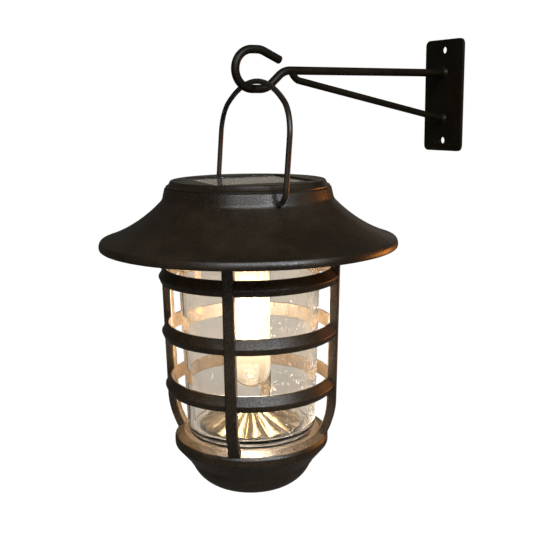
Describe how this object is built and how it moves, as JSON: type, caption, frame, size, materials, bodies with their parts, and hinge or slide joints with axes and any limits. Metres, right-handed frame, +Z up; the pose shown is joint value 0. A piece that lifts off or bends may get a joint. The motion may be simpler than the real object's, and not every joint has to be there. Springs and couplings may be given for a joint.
{
  "type": "solar lantern",
  "caption": "Hanging solar lantern with a flared hat, solar cap, caged glass chimney and wire bail, on a wall bracket with a hook.",
  "frame": {"origin": "centre of the wall plate's back face, midway between its two screw holes", "axes": "+Y into the wall, +Z up, the arm runs along -Y and the lantern hangs from its end"},
  "size_m": [0.1794, 0.2449, 0.2763],
  "materials": {
    "bracket_paint": "satin black paint with a fine grain",
    "bail_paint": "satin black paint, slightly brown, worn where it rubs",
    "hat_black": "satin black finish with a fine sandy grain",
    "cage_black": "satin black finish with a fine sandy grain",
    "inner_black": "moulded black plastic",
    "rubber": "matt black rubber",
    "silicone": "soft clear silicone",
    "board_green": "green circuit board",
    "cell_blue": "dark blue crystalline cells",
    "ribbon": "tinned ribbon",
    "panel_glass": "flat clear cover",
    "screw_steel": "bright zinc-plated steel",
    "battery_wrap": "green shrink wrap",
    "part_black": "moulded component black",
    "switch_red": "red moulded knob",
    "lead_red": "red insulation",
    "lead_black": "black insulation",
    "bulb_shell": "rolled screw shell",
    "bulb_glass": "clear bulb glass",
    "filament": "warm glowing filament",
    "clear_glass": "clear glass with small seeds",
    "reflector_chrome": "bright fluted reflector"
  },
  "bodies": {
    "bracket": {"wall_plate": "bracket_paint", "hook_arm": "bracket_paint", "brace_rod": "bracket_paint", "weld_beads": "bracket_paint"},
    "bail": {"bail_handle": "bail_paint"},
    "head": {"canopy": "hat_black", "top_cap": "hat_black", "cap_seal": "rubber", "panel_board": "board_green", "solar_cells": "cell_blue", "cell_ribbons": "ribbon", "panel_cover": "panel_glass", "underside_plate": "inner_black", "plate_screws": "screw_steel", "battery_holder": "inner_black", "battery": "battery_wrap", "battery_contacts": "screw_steel", "battery_cover": "inner_black", "circuit_board": "board_green", "board_spacers": "inner_black", "board_parts": "part_black", "board_screws": "screw_steel", "switch_body": "part_black", "panel_leads": "lead_red", "lamp_leads": "lead_black", "lamp_socket": "inner_black", "bulb_base": "bulb_shell", "bulb_envelope": "bulb_glass", "bulb_stem": "bulb_glass", "filament_frame": "screw_steel", "led_filaments": "filament"},
    "switch": {"switch_slider": "switch_red"},
    "seal": {"cage_seal": "rubber"},
    "cage": {"cage_collar": "cage_black", "upper_ring": "cage_black", "middle_ring": "cage_black", "lower_ring": "cage_black", "cage_bars": "cage_black", "cage_tray": "cage_black", "base_bowl": "cage_black", "base_screw": "screw_steel", "glass_cylinder": "clear_glass", "glass_gasket": "silicone", "glass_pad": "rubber", "reflector": "reflector_chrome"}
  },
  "joints": [
    {"name": "hook_swing", "type": "hinge", "parent": "bracket", "child": "bail", "pos_m": [0, -0.15, 0.0041], "axis": [0, 1, 0], "range_deg": [-25, 25]},
    {"name": "bail_pivot", "type": "hinge", "parent": "bail", "child": "head", "pos_m": [-0.001, -0.1552, -0.05879], "axis": [0.982, -0.1891, 0], "range_deg": [-90, 30]},
    {"name": "cage_drop", "type": "slide", "parent": "head", "child": "seal", "axis": [0, 0, -1], "range_m": [0, 0.14]},
    {"name": "cage_twist", "type": "hinge", "parent": "seal", "child": "cage", "pos_m": [-0.001, -0.1552, -0.08379], "axis": [0, 0, 1], "range_deg": [0, 20]},
    {"name": "switch_slide", "type": "slide", "parent": "head", "child": "switch", "axis": [0.982, -0.1891, 0], "range_m": [0, 0.003]}
  ]
}
